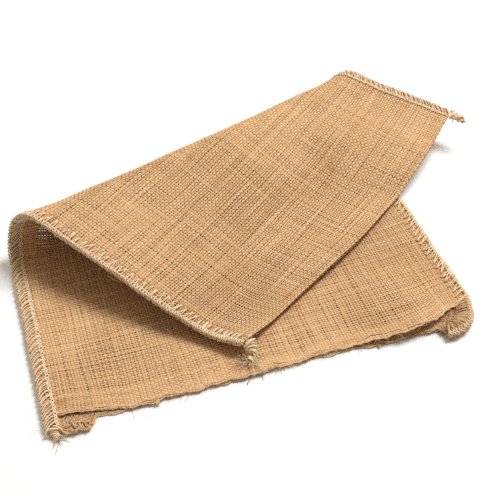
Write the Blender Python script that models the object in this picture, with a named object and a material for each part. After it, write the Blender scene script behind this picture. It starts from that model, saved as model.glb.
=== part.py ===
"""Empty jute sack lying flat, its bottom end turned back over its mouth in one open fold.

The sack is one length of hessian doubled at the bottom and overcast along both sides. A point of
it is given in the sack's own flat coordinates: u across from the left seam, v up from the mouth to
the bottom, and an offset from the middle of the two panels, towards the front panel. The mapping
place() turns these into the folded shape. Metres, +Z up, +X along the fold, +Y from the mouth to
the fold, origin under the middle of the whole part.
"""
import math
from collections import namedtuple

import bmesh
import bpy
import numpy as np

MM = 0.001

# ---- the sack laid flat ------------------------------------------------------------------------
WIDTH = 350 * MM              # between the outer sides of the cloth
LENGTH = 460 * MM             # from the mouth to the doubled bottom
CLOTH = 1.2 * MM              # one thickness of hessian
PANEL_GAP = 0.6 * MM          # between the panels where they lie closed
HALF = CLOTH + PANEL_GAP / 2  # from the middle of the closed sack to its outer side

# ---- the fold ----------------------------------------------------------------------------------
FOLD_TURN = math.radians(21)  # the fold runs this far off square to the seams
FOLD_START = 155 * MM         # from the mouth to where the left seam leaves the surface
FOLD_LENGTH = WIDTH / math.cos(FOLD_TURN)
RELEASE = 145 * MM            # radius on which the turned-back end settles
REST = 5.0 * MM               # from the lower cloth's middle to that of the settled end
FLAP_DRIFT = -0.05            # sideways drift of the end for each unit of length turned back
BOW = 0.015                   # how far the right side is pushed back from the mouth
FREE_REACH = 110 * MM         # the free edge's own waves die out over this length

# The open fold, from its left end (along 0) to its right end (along 1): the radius of the loop,
# and how many degrees past level the cloth dips as it leaves the crest.
FoldRow = namedtuple("FoldRow", "along radius dip")
FOLD = (
    FoldRow(0.00, 27.0 * MM, 14.0),
    FoldRow(0.33, 23.5 * MM, 16.0),
    FoldRow(0.67, 20.5 * MM, 22.5),
    FoldRow(1.00, 18.0 * MM, 7.0),
)

# The sack's bottom, now the free edge of the turned-back end, from the left seam (across 0) to the
# right one (across 1): how far it stands up, and how far it is drawn back towards the fold.
EdgeRow = namedtuple("EdgeRow", "across lift drawn")
FREE_EDGE = (
    EdgeRow(0.0, 7.0 * MM, 21.0 * MM),
    EdgeRow(0.2, 1.5 * MM, 13.5 * MM),
    EdgeRow(0.4, 5.0 * MM, 3.0 * MM),
    EdgeRow(0.6, 3.0 * MM, 0.0 * MM),
    EdgeRow(0.8, 2.0 * MM, 0.0 * MM),
    EdgeRow(1.0, 5.0 * MM, 0.0 * MM),
)

# ---- the mouth ---------------------------------------------------------------------------------
GAPE = 8.0 * MM               # the front panel stands off the back one by this much at the right
GAPE_FROM = 0.66              # ends and middle of that stretch, as shares of the width
GAPE_TOP = 0.85
GAPE_TO = 0.965
GAPE_DEPTH = 75 * MM
CORNER_LIFT = 2.0 * MM        # the right corner stands up
CORNER_REACH = 70 * MM

# The uneven mouth, at places across the sack from the left seam: how far each panel's edge sticks
# out. The back panel shows as a tab at the left, and at the right the seam draws its corner out.
MouthRow = namedtuple("MouthRow", "across front back")
MOUTH = (
    MouthRow(0 * MM, -1.0 * MM, 4.0 * MM), MouthRow(8.5 * MM, -5.0 * MM, 4.5 * MM),
    MouthRow(11 * MM, -5.0 * MM, 9.5 * MM), MouthRow(30 * MM, -4.5 * MM, 12.0 * MM),
    MouthRow(37 * MM, -2.5 * MM, 1.0 * MM), MouthRow(60 * MM, 2.5 * MM, 1.5 * MM),
    MouthRow(235 * MM, 0.5 * MM, 0.5 * MM), MouthRow(272 * MM, 4.0 * MM, 5.5 * MM),
    MouthRow(294 * MM, 6.0 * MM, 6.0 * MM), MouthRow(312 * MM, 1.5 * MM, 6.5 * MM),
    MouthRow(317 * MM, -2.0 * MM, 15.5 * MM), MouthRow(324 * MM, -6.0 * MM, 16.0 * MM),
    MouthRow(332.5 * MM, -8.0 * MM, 13.5 * MM), MouthRow(340 * MM, -8.0 * MM, 8.5 * MM),
    MouthRow(344.5 * MM, -8.0 * MM, 1.5 * MM), MouthRow(347.5 * MM, -9.0 * MM, -8.0 * MM),
    MouthRow(350 * MM, -15.0 * MM, -15.0 * MM),
)

# ---- the overcast side seams -------------------------------------------------------------------
SEAM_CLEAR = 0.45 * MM        # between the cloth and the yarn round its edge
STITCH = 6.0 * MM             # from one stitch to the next
YARN_LOW = 0.5 * MM           # yarn between stitches
YARN_HIGH = 1.3 * MM          # yarn on a stitch
BITE_HIGH = 9.5 * MM          # how far in from the side the yarn reaches on a stitch
BITE_STEP = 2.0 * MM          # and this much less between stitches
BITE_LOW = BITE_HIGH - BITE_STEP
FAN_STEP = 0.8 * MM           # the same where the stitches spread like a fan
SLANT = 2.0 * MM              # a stitch's inner end lies this far further along than its outer end
SEAM_LIFT = SEAM_CLEAR + YARN_HIGH
LIFT_WIDTH = 30 * MM          # the cloth rises to the seams over this width
TAIL_BITE = 3.4 * MM          # width and thickness of a chain tail
TAIL_THICK = 2.6 * MM

# The right seam curls round the corner of the mouth, where its stitches spread like a fan: the run
# along it, its place in from the side and along the sack, the stitches' turn from square to the side
# in degrees, their bite, and how much they bulge.
CurlRow = namedtuple("CurlRow", "run inset along turn bite bulge")
CURL = (
    CurlRow(0 * MM, 0.0 * MM, 14.0 * MM, 0, 9.5 * MM, 0.0 * MM),
    CurlRow(9 * MM, 2.5 * MM, 5.5 * MM, 3, 12.0 * MM, 0.6 * MM),
    CurlRow(19 * MM, 5.5 * MM, -4.0 * MM, 10, 14.0 * MM, 1.6 * MM),
    CurlRow(27 * MM, 10.0 * MM, -10.5 * MM, 28, 14.5 * MM, 2.6 * MM),
    CurlRow(36 * MM, 17.5 * MM, -15.0 * MM, 52, 13.5 * MM, 2.6 * MM),
    CurlRow(45 * MM, 26.0 * MM, -17.5 * MM, 84, 12.0 * MM, 1.6 * MM),
    CurlRow(53 * MM, 34.0 * MM, -17.0 * MM, 112, 10.5 * MM, 0.0 * MM),
)
CURL_WIDTH = 24 * MM          # the cloth is lifted to the seam over this much more width at the mouth
CURL_REACH = 45 * MM

# The chain of yarn past the other ends of the seams: how far it goes on along the seam, in from the
# side and up, and its size as a share from the seam's own (1) to the chain's (0).
TailRow = namedtuple("TailRow", "along inward up size")
TAILS = {
    ("left", "mouth"): (
        TailRow(2 * MM, 0.2 * MM, -0.2 * MM, 0.6), TailRow(4 * MM, 0.8 * MM, -0.8 * MM, 0.2),
        TailRow(6 * MM, 1.8 * MM, -1.4 * MM, 0.0), TailRow(7.5 * MM, 2.8 * MM, -1.6 * MM, 0.0),
    ),
    ("left", "bottom"): (
        TailRow(2.5 * MM, 0.0 * MM, -1.2 * MM, 0.8), TailRow(5.0 * MM, -0.8 * MM, -3.6 * MM, 0.65),
        TailRow(7.5 * MM, -3.2 * MM, -6.4 * MM, 0.5), TailRow(9.5 * MM, -6.6 * MM, -8.8 * MM, 0.4),
        TailRow(11.0 * MM, -10.5 * MM, -10.4 * MM, 0.3),
    ),
    ("right", "bottom"): (
        TailRow(3.0 * MM, 0.0 * MM, 0.2 * MM, 0.9), TailRow(7.0 * MM, 0.4 * MM, 0.3 * MM, 0.8),
        TailRow(11.0 * MM, 0.7 * MM, 0.0 * MM, 0.65), TailRow(14.5 * MM, 0.8 * MM, -0.4 * MM, 0.35),
    ),
}

# ---- how finely the cloth is cut into faces ----------------------------------------------------
COLUMN_WIDTH = 26 * MM        # the widest column of faces across the cloth
LOWER_ROWS = 7
LOOP_ROWS = 19
FLAP_ROWS = 15

# ---- where the part's origin lies in the fold's own frame -------------------------------------
ORIGIN_X = 0.1873
ORIGIN_Y = -0.1245

COLOURS = {
    "hessian": ((0.56, 0.36, 0.17), 0.95),
    "seam_yarn": ((0.70, 0.51, 0.27), 0.90),
}


def smoothstep(start, end, value):
    """0 before start and 1 after end, with a soft rise between."""
    share = np.clip((np.asarray(value, float) - start) / (end - start), 0.0, 1.0)
    return share * share * (3.0 - 2.0 * share)


def along_table(rows, key, column, value):
    """Reads a column of a table at any value of its key, on one smooth curve."""
    keys = np.array([getattr(row, key) for row in rows])
    values = np.array([getattr(row, column) for row in rows])
    value = np.clip(value, keys[0], keys[-1])
    left = np.clip(np.searchsorted(keys, value, side="right") - 1, 0, len(keys) - 2)
    share = (value - keys[left]) / (keys[left + 1] - keys[left])
    slopes = np.gradient(values) if len(values) > 2 else np.full(len(values), np.ptp(values))
    low, high = values[left], values[left + 1]
    return (
        (2 * share**3 - 3 * share**2 + 1) * low
        + (share**3 - 2 * share**2 + share) * slopes[left]
        + (3 * share**2 - 2 * share**3) * high
        + (share**3 - share**2) * slopes[left + 1]
    )


def fold_profile(run, radius, dip):
    """The fold's cross-section: (forward, height) after a run of cloth past where it leaves the surface.

    The cloth goes round a loop of the given radius until it dips past level, runs straight down,
    and settles on the release radius to lie level at the rest height.
    """
    loop_run = radius * (math.pi + dip)
    crest = radius * (1 + np.cos(dip))
    release = np.minimum(RELEASE, (crest - REST) / (1 - np.cos(dip)))
    straight_run = (crest - release * (1 - np.cos(dip)) - REST) / np.sin(dip)

    turned = np.clip(run, 0, loop_run) / radius
    forward = np.where(run < 0, run, radius * np.sin(turned))
    height = radius * (1 - np.cos(turned))

    slid = np.clip(run - loop_run, 0, straight_run)
    forward = forward - slid * np.cos(dip)
    height = height - slid * np.sin(dip)

    settled = np.clip(run - loop_run - straight_run, 0, release * dip) / release
    forward = forward - release * (np.sin(dip) - np.sin(dip - settled))
    height = height - release * (np.cos(dip - settled) - np.cos(dip))
    return forward - np.clip(run - loop_run - straight_run - release * dip, 0, None), height


def middle(u, v):
    """The middle of the two panels in the folded sack, as an array of points."""
    u, v = np.broadcast_arrays(np.asarray(u, float), np.asarray(v, float))
    along = u * math.cos(FOLD_TURN) + (v - FOLD_START) * math.sin(FOLD_TURN)
    run = -u * math.sin(FOLD_TURN) + (v - FOLD_START) * math.cos(FOLD_TURN)
    share = along / FOLD_LENGTH
    radius = along_table(FOLD, "along", "radius", share)
    dip = np.radians(along_table(FOLD, "along", "dip", share))
    forward, height = fold_profile(run, radius, dip)

    wave = np.clip((v - LENGTH + FREE_REACH) / FREE_REACH, 0, 1.2) ** 2
    height = height + wave * along_table(FREE_EDGE, "across", "lift", u / WIDTH)
    forward = forward + wave * along_table(FREE_EDGE, "across", "drawn", u / WIDTH)

    curled = CURL_WIDTH * (1 - smoothstep(0, CURL_REACH, v))
    side = np.minimum(u, WIDTH - u - curled)
    height = height + HALF + SEAM_LIFT * (1 - smoothstep(BITE_HIGH, BITE_HIGH + LIFT_WIDTH, side))
    corner = smoothstep(WIDTH - CORNER_REACH, WIDTH, u) * (1 - smoothstep(0, CORNER_REACH, v))
    height = height + CORNER_LIFT * corner

    x = along + FLAP_DRIFT * np.clip(run - radius * math.pi / 2, 0, None)
    y = forward + BOW * (x / WIDTH - 0.5) * x
    return np.stack([x - ORIGIN_X, y - ORIGIN_Y, height], axis=-1)


def directions(u, v):
    """Unit vectors at a point of the sack: across, along, and out of the front panel."""
    step = 0.2 * MM
    across = middle(u + step, v) - middle(u - step, v)
    along = middle(u, v + step) - middle(u, v - step)
    out = np.cross(across, along)
    return [vector / np.linalg.norm(vector, axis=-1, keepdims=True) for vector in (across, along, out)]


def place(u, v, offset):
    """A point of the folded sack, at an offset from the middle towards the front panel."""
    u, v, offset = np.broadcast_arrays(*(np.asarray(value, float) for value in (u, v, offset)))
    return middle(u, v) + directions(u, v)[2] * offset[..., None]


def gape(u, v):
    """How far the front panel stands off the back one, beyond the closed gap."""
    share = u / WIDTH
    stretch = smoothstep(GAPE_FROM, GAPE_TOP, share) * (1 - smoothstep(GAPE_TOP, GAPE_TO, share))
    return GAPE * stretch * (1 - smoothstep(0, GAPE_DEPTH, v))


def mouth_edge(u, panel):
    """Where a panel's edge lies along the sack. The mouth is at 0."""
    return -np.interp(u, [row.across for row in MOUTH], [getattr(row, panel) for row in MOUTH])


def cloth_columns():
    """Places across the sack: at the mouth's rows, and evenly between those that lie far apart."""
    places = [MOUTH[0].across]
    for row in MOUTH[1:]:
        steps = math.ceil((row.across - places[-1]) / COLUMN_WIDTH)
        places.extend(np.linspace(places[-1], row.across, steps + 1)[1:])
    return np.array(places)


def cloth_rows(u, mouth, bottom):
    """Places along the sack at each u. The rows between mouth and bottom follow the fold's slant."""
    fold_radius = max(row.radius for row in FOLD)
    loop_end = fold_radius * (math.pi + math.radians(max(row.dip for row in FOLD)))
    start = FOLD_START + u * math.tan(FOLD_TURN)
    loop = start[None, :] + np.linspace(0, loop_end, LOOP_ROWS)[:, None] / math.cos(FOLD_TURN)
    lower = mouth + (loop[0] - mouth) * np.linspace(0, 1, LOWER_ROWS, endpoint=False)[:, None]
    flap = loop[-1] + (bottom - loop[-1]) * np.linspace(0, 1, FLAP_ROWS + 1)[1:, None]
    return np.concatenate([lower, np.minimum(loop, bottom), np.maximum(flap, lower[-1])])


def cloth_loops(inset, front_offset, back_offset, bottom):
    """Closed loops round the sack, one for each row, over the front panel and back under it."""
    u = np.clip(cloth_columns(), inset, WIDTH - inset)
    front_v = cloth_rows(u, mouth_edge(u, "front"), bottom)
    back_v = cloth_rows(u, mouth_edge(u, "back"), bottom)
    front = place(u[None, :], front_v, front_offset + gape(u[None, :], front_v))
    back = place(u[None, :], back_v, -back_offset + 0 * back_v)
    return np.concatenate([front, back[:, ::-1]], axis=1)


def new_object(name, bm, material):
    """Turns a closed bmesh into a named object with its faces pointing out."""
    bmesh.ops.recalc_face_normals(bm, faces=bm.faces[:])
    mesh = bpy.data.meshes.new(name)
    bm.to_mesh(mesh)
    bm.free()
    mesh.shade_smooth()
    mesh.set_sharp_from_angle(angle=math.radians(50))
    mesh.materials.append(material)
    piece = bpy.data.objects.new(name, mesh)
    bpy.context.scene.collection.objects.link(piece)
    return piece


def ring(bm, points):
    return [bm.verts.new(point) for point in points]


def join_rings(bm, first, second):
    """A band of faces between two closed rings of as many points."""
    count = len(first)
    for i in range(count):
        j = (i + 1) % count
        bm.faces.new((first[i], first[j], second[j], second[i]))


def close_flat_ring(bm, points):
    """Closes a ring whose first half faces its second half, point by point."""
    half = len(points) // 2
    for i in range(half - 1):
        bm.faces.new((points[i], points[i + 1], points[-i - 2], points[-i - 1]))


def build_cloth(material):
    """Both panels as one body: an outer skin, an inner skin, and the mouth's rim between them."""
    bm = bmesh.new()
    half_gap = PANEL_GAP / 2
    outer = [ring(bm, loop) for loop in cloth_loops(0, HALF, HALF, LENGTH)]
    inner = [ring(bm, loop) for loop in cloth_loops(CLOTH, half_gap, half_gap, LENGTH - CLOTH)]
    for rings in (outer, inner):
        for first, second in zip(rings, rings[1:]):
            join_rings(bm, first, second)
        close_flat_ring(bm, rings[-1])
    join_rings(bm, outer[0], inner[0])
    return new_object("sack_cloth", bm, material)


def seam_section(yarn, bite):
    """The yarn's section round the cloth's side: (inset from the side, offset), out and back in."""
    outside = HALF + SEAM_CLEAR + yarn
    inside = HALF + SEAM_CLEAR
    back = -SEAM_CLEAR - yarn
    return np.array([
        (bite, outside), (back, outside), (back, -outside), (bite, -outside),
        (bite, -inside), (-SEAM_CLEAR, -inside), (-SEAM_CLEAR, inside), (bite, inside),
    ])


def tail_section(size):
    """The same section shrinking from the seam's own size to the chain's, about its middle."""
    full = seam_section(YARN_LOW, BITE_LOW)
    wide, thick = TAIL_BITE / 2, TAIL_THICK / 2
    slit_wide, slit_thick = wide / 2, thick / 4
    chain = np.array([
        (wide, thick), (-wide, thick), (-wide, -thick), (wide, -thick),
        (wide, -slit_thick), (-slit_wide, -slit_thick), (-slit_wide, slit_thick), (wide, slit_thick),
    ])
    centred = full - np.array([BITE_LOW / 2, 0])
    return centred * size + chain * (1 - size)


def side_u(side, inset):
    return inset if side == "left" else WIDTH - inset


def seam_end(side, end):
    """Where a seam's straight run ends along the sack."""
    if end == "bottom":
        return LENGTH
    return CURL[0].along if side == "right" else float(mouth_edge(0.0, "back"))


def tail_rings(side, end):
    """Rings of the chain past one end of a seam, nearest the seam first."""
    v = seam_end(side, end)
    u = side_u(side, BITE_LOW / 2)
    across, along, out = directions(u, v)
    onward = -along if end == "mouth" else along
    inward = across if side == "left" else -across
    start = middle(u, v)
    rows = TAILS[side, end]
    up = np.array([0.0, 0.0, 1.0])
    centres = [start] + [start + row.along * onward + row.inward * inward + row.up * up for row in rows]
    rings = []
    for i, row in enumerate(rows, start=1):
        ahead = centres[min(i + 1, len(rows))] - centres[i - 1]
        ahead = ahead / np.linalg.norm(ahead)
        sideways = inward - ahead * np.dot(inward, ahead)
        sideways = sideways / np.linalg.norm(sideways)
        upward = np.cross(sideways, ahead)
        upward = upward * np.sign(np.dot(upward, out))
        section = tail_section(row.size)
        rings.append(centres[i] + section[:, :1] * sideways + section[:, 1:] * upward)
    return rings


def curl_rings():
    """Rings of the right seam's curl round the corner of the mouth, outermost first."""
    steps = 2 * round(CURL[-1].run / STITCH)
    rings = []
    for i in range(steps, 0, -1):
        run = CURL[-1].run * i / steps
        inset, along, turn, bite, bulge = (
            np.interp(run, [row.run for row in CURL], [getattr(row, column) for row in CURL])
            for column in CurlRow._fields[1:]
        )
        on_stitch = i % 2 == 1
        section = seam_section(YARN_HIGH, bite) if on_stitch else seam_section(YARN_LOW, bite - FAN_STEP)
        section[:2, 1] += bulge
        u = WIDTH - inset - section[:, 0] * math.cos(math.radians(turn))
        v = along + section[:, 0] * math.sin(math.radians(turn))
        rings.append(place(u, v, section[:, 1]))
    return rings


def build_seam(side, material):
    """The overcasting along one side: a raised stitch every STITCH, and what goes on past each end."""
    start = seam_end(side, "mouth")
    length = LENGTH - start
    stitches = round(length / STITCH)
    inner_points = np.array([1, 0, 0, 1, 1, 0, 0, 1])
    rings = []
    for i in range(2 * stitches + 1):
        on_stitch = i % 2 == 1
        section = seam_section(YARN_HIGH, BITE_HIGH) if on_stitch else seam_section(YARN_LOW, BITE_LOW)
        v = start + length * i / (2 * stitches)
        slant = SLANT * inner_points * (0 < i < 2 * stitches)
        rings.append(place(side_u(side, section[:, 0]), v + slant, section[:, 1]))
    mouth_rings = curl_rings() if side == "right" else tail_rings(side, "mouth")[::-1]
    rings = mouth_rings + rings + tail_rings(side, "bottom")

    bm = bmesh.new()
    rings = [ring(bm, points) for points in rings]
    for first, second in zip(rings, rings[1:]):
        join_rings(bm, first, second)
    close_flat_ring(bm, rings[0])
    close_flat_ring(bm, rings[-1])
    return new_object(f"seam_{side}", bm, material)


def make_material(name):
    colour, roughness = COLOURS[name]
    material = bpy.data.materials.new(name)
    material.use_nodes = True
    shader = material.node_tree.nodes["Principled BSDF"]
    shader.inputs["Base Color"].default_value = (*colour, 1)
    shader.inputs["Roughness"].default_value = roughness
    shader.inputs["Metallic"].default_value = 0.0
    material.diffuse_color = (*colour, 1)
    return material


def main():
    for old in list(bpy.data.objects):
        bpy.data.objects.remove(old, do_unlink=True)
    build_cloth(make_material("hessian"))
    for side in ("left", "right"):
        build_seam(side, make_material("seam_yarn"))


main()
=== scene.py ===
"""Looks of the folded jute sack: woven yarns, overcast seams, chain tails, loose fibres and light.

The cloth follows the same mapping as the solids: u across from the left seam, v from the mouth to
the doubled bottom, and an offset from the middle of the two panels. Metres, +Z up.
"""
import math
from collections import namedtuple

import bpy
import numpy as np
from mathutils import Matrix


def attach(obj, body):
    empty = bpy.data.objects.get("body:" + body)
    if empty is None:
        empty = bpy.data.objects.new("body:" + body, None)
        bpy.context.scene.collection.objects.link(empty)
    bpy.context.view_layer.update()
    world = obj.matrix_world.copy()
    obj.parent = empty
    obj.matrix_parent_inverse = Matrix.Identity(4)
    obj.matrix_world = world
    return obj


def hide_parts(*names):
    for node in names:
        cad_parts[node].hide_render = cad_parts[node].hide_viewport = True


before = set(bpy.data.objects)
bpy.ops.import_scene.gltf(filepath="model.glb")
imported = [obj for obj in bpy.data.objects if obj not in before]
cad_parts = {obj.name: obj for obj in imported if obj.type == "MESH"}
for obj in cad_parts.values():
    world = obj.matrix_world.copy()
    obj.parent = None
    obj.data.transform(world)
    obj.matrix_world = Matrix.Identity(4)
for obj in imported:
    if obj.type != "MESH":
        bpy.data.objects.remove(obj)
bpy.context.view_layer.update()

MM = 0.001


def in_mm(row_type, *rows):
    """Rows of a table whose values are all in millimetres."""
    return tuple(row_type(*(value * MM for value in row)) for row in rows)


# ---- the sack laid flat, as in the solids ----
WIDTH = 350 * MM                  # between the outer sides of the cloth
LENGTH = 460 * MM                 # from the mouth to the doubled bottom
CLOTH = 1.2 * MM                  # one thickness of hessian
PANEL_GAP = 0.6 * MM              # between the panels where they lie closed
HALF = CLOTH + PANEL_GAP / 2      # from the middle of the closed sack to its outer side
BEND = (CLOTH + PANEL_GAP) / 2    # radius on which the cloth doubles at the bottom
STRAIGHT = LENGTH - HALF          # where that bend starts
PANEL_END = STRAIGHT + BEND * math.pi / 2    # and a panel's length to the middle of it

# ---- the fold, as in the solids ----
FOLD_TURN = math.radians(21)      # the fold runs this far off square to the seams
FOLD_START = 155 * MM             # from the mouth to where the left seam leaves the surface
FOLD_LENGTH = WIDTH / math.cos(FOLD_TURN)
RELEASE = 145 * MM                # radius on which the turned-back end settles
REST = 5.0 * MM                   # from the lower cloth's middle to that of the settled end
FLAP_DRIFT = -0.05                # sideways drift of the end for each unit of length turned back
BOW = 0.015                       # how far the right side is pushed back from the mouth
FREE_REACH = 110 * MM             # the free edge's own waves die out over this length
# The fold from its left end to its right end: the radius of the loop, and how many degrees past
# level the cloth dips as it leaves the crest.
FoldRow = namedtuple("FoldRow", "along radius dip")
FOLD = (
    FoldRow(0.00, 27.0 * MM, 14.0), FoldRow(0.33, 23.5 * MM, 16.0),
    FoldRow(0.67, 20.5 * MM, 22.5), FoldRow(1.00, 18.0 * MM, 7.0),
)
# The sack's bottom, now the free edge: how far it stands up and is drawn back towards the fold.
EdgeRow = namedtuple("EdgeRow", "across lift drawn")
FREE_EDGE = (
    EdgeRow(0.0, 7.0 * MM, 21.0 * MM), EdgeRow(0.2, 1.5 * MM, 13.5 * MM),
    EdgeRow(0.4, 5.0 * MM, 3.0 * MM), EdgeRow(0.6, 3.0 * MM, 0.0),
    EdgeRow(0.8, 2.0 * MM, 0.0), EdgeRow(1.0, 5.0 * MM, 0.0),
)

# ---- the mouth, as in the solids ----
GAPE = 8.0 * MM                   # the front panel stands off the back one by this much at the right
GAPE_FROM, GAPE_TOP, GAPE_TO = 0.66, 0.85, 0.965    # ends and middle of that stretch of the width
GAPE_DEPTH = 75 * MM
CORNER_LIFT = 2.0 * MM            # the right corner stands up
CORNER_REACH = 70 * MM
EDGE_REACH = 70 * MM              # the uneven edge evens out over this length
# How far each panel's edge sticks out, at places across the sack.
MouthRow = namedtuple("MouthRow", "across front back")
MOUTH = in_mm(
    MouthRow, (0, -1.0, 4.0), (8.5, -5.0, 4.5), (11, -5.0, 9.5), (30, -4.5, 12.0), (37, -2.5, 1.0),
    (60, 2.5, 1.5), (235, 0.5, 0.5), (272, 4.0, 5.5), (294, 6.0, 6.0), (312, 1.5, 6.5),
    (317, -2.0, 15.5), (324, -6.0, 16.0), (332.5, -8.0, 13.5), (340, -8.0, 8.5), (344.5, -8.0, 1.5),
    (347.5, -9.0, -8.0), (350, -15.0, -15.0),
)
# And the small unevenness of the edge: wavelength, height, and the back panel's shift.
Ragged = namedtuple("Ragged", "length height shift")
RAGGED = (
    Ragged(41 * MM, 0.5 * MM, 1.0), Ragged(17 * MM, 0.45 * MM, 2.3), Ragged(7.3 * MM, 0.3 * MM, 3.1),
)

# ---- the seams and their ends, as in the solids ----
SEAM_LIFT = 1.75 * MM             # the cloth rises to the seams by this, over LIFT_WIDTH
BITE = 9.5 * MM                   # how far in from the side the yarn reaches
LIFT_WIDTH = 30 * MM
# The right seam's curl round the corner of the mouth: the run along it, its place in from the side
# and along the sack, the stitches' turn in degrees, their bite, and how much they bulge.
CurlRow = namedtuple("CurlRow", "run inset along turn bite bulge")
CURL = (
    CurlRow(0 * MM, 0.0 * MM, 14.0 * MM, 0, 9.5 * MM, 0.0 * MM),
    CurlRow(9 * MM, 2.5 * MM, 5.5 * MM, 3, 12.0 * MM, 0.6 * MM),
    CurlRow(19 * MM, 5.5 * MM, -4.0 * MM, 10, 14.0 * MM, 1.6 * MM),
    CurlRow(27 * MM, 10.0 * MM, -10.5 * MM, 28, 14.5 * MM, 2.6 * MM),
    CurlRow(36 * MM, 17.5 * MM, -15.0 * MM, 52, 13.5 * MM, 2.6 * MM),
    CurlRow(45 * MM, 26.0 * MM, -17.5 * MM, 84, 12.0 * MM, 1.6 * MM),
    CurlRow(53 * MM, 34.0 * MM, -17.0 * MM, 112, 10.5 * MM, 0.0 * MM),
)
CURL_WIDTH = 24 * MM              # the cloth is lifted to the seam over this much more width there
CURL_REACH = 45 * MM
# The chain past a seam's end: the way it takes, how far its strands lie off its middle, and how
# far its loose ends reach.
TailRow = namedtuple("TailRow", "along inward up")
Tail = namedtuple("Tail", "rows width tuft")
TAILS = {
    ("left", "mouth"): Tail(
        in_mm(TailRow, (0, 0, 0), (2, 0.2, -0.2), (4, 0.8, -0.8), (6, 1.8, -1.4), (7.5, 2.8, -1.6)),
        3.1 * MM, 5 * MM),
    ("left", "bottom"): Tail(
        in_mm(TailRow, (0, 0, 0), (2.5, 0, -1.2), (5, -0.8, -3.6), (7.5, -3.2, -6.4),
              (9.5, -6.6, -8.8), (11, -10.5, -10.4)),
        3.2 * MM, 10 * MM),
    ("right", "bottom"): Tail(
        in_mm(TailRow, (0, 0, 0), (3, 0, 0.2), (7, 0.4, 0.3), (11, 0.7, 0), (14.5, 0.8, -0.4)),
        3.2 * MM, 2.5 * MM),
}
ORIGIN_X = 0.1873                 # the part's origin, in the fold's own x and y
ORIGIN_Y = -0.1245

FLOOR_CLEAR = 0.05 * MM           # nothing reaches lower than this


# ==== The folded shape ====
def smoothstep(start, end, value):
    """0 before start and 1 after end, with a soft rise between."""
    share = np.clip((np.asarray(value, float) - start) / (end - start), 0.0, 1.0)
    return share * share * (3.0 - 2.0 * share)


def along_table(rows, key, column, value):
    """Reads a column of a table at any value of its key, on one smooth curve."""
    keys = np.array([getattr(row, key) for row in rows])
    values = np.array([getattr(row, column) for row in rows])
    value = np.clip(value, keys[0], keys[-1])
    left = np.clip(np.searchsorted(keys, value, side="right") - 1, 0, len(keys) - 2)
    share = (value - keys[left]) / (keys[left + 1] - keys[left])
    slopes = np.gradient(values)
    low, high = values[left], values[left + 1]
    return (
        (2 * share**3 - 3 * share**2 + 1) * low
        + (share**3 - 2 * share**2 + share) * slopes[left]
        + (3 * share**2 - 2 * share**3) * high
        + (share**3 - share**2) * slopes[left + 1]
    )


def fold_profile(run, radius, dip):
    """The fold's cross-section: (forward, height) after a run of cloth past where it leaves the surface."""
    loop_run = radius * (math.pi + dip)
    crest = radius * (1 + np.cos(dip))
    release = np.minimum(RELEASE, (crest - REST) / (1 - np.cos(dip)))
    straight_run = (crest - release * (1 - np.cos(dip)) - REST) / np.sin(dip)

    turned = np.clip(run, 0, loop_run) / radius
    forward = np.where(run < 0, run, radius * np.sin(turned))
    height = radius * (1 - np.cos(turned))

    slid = np.clip(run - loop_run, 0, straight_run)
    forward = forward - slid * np.cos(dip)
    height = height - slid * np.sin(dip)

    settled = np.clip(run - loop_run - straight_run, 0, release * dip) / release
    forward = forward - release * (np.sin(dip) - np.sin(dip - settled))
    height = height - release * (np.cos(dip - settled) - np.cos(dip))
    return forward - np.clip(run - loop_run - straight_run - release * dip, 0, None), height


def gape(u, v):
    """How far the front panel stands off the back one, beyond the closed gap."""
    share = u / WIDTH
    stretch = smoothstep(GAPE_FROM, GAPE_TOP, share) * (1 - smoothstep(GAPE_TOP, GAPE_TO, share))
    return GAPE * stretch * (1 - smoothstep(0, GAPE_DEPTH, v))


def mouth_edge(u, panel):
    """Where a panel's edge lies along the sack. The mouth is at 0."""
    return -np.interp(u, [row.across for row in MOUTH], [getattr(row, panel) for row in MOUTH])


def ragged(u, panel):
    """The small unevenness of a panel's edge."""
    phase = 0.0 if panel == "front" else 2.0
    return sum(row.height * np.sin(2 * math.pi * u / row.length + phase * row.shift) for row in RAGGED)


# Soft waves of the cloth: wavelength, heading from across to along, phase, height.
Wave = namedtuple("Wave", "length heading phase height")
WAVES = (
    Wave(118 * MM, 0.35, 0.4, 0.50 * MM), Wave(74 * MM, 1.25, 2.1, 0.35 * MM),
    Wave(52 * MM, -0.55, 4.0, 0.25 * MM), Wave(33 * MM, 0.95, 1.2, 0.12 * MM),
    Wave(27 * MM, 2.10, 5.1, 0.10 * MM),
)


def ripple(u, v, run):
    """Height of the soft waves. Cloth on the surface only rises."""
    total = 0
    for wave in WAVES:
        ahead = u * math.cos(wave.heading) + v * math.sin(wave.heading)
        total = total + wave.height * np.sin(2 * math.pi / wave.length * ahead + wave.phase)
    reach = sum(wave.height for wave in WAVES)
    lying = 1 - smoothstep(-20 * MM, 20 * MM, run)
    return total * (1 - 0.5 * lying) + 0.5 * reach * lying


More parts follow.
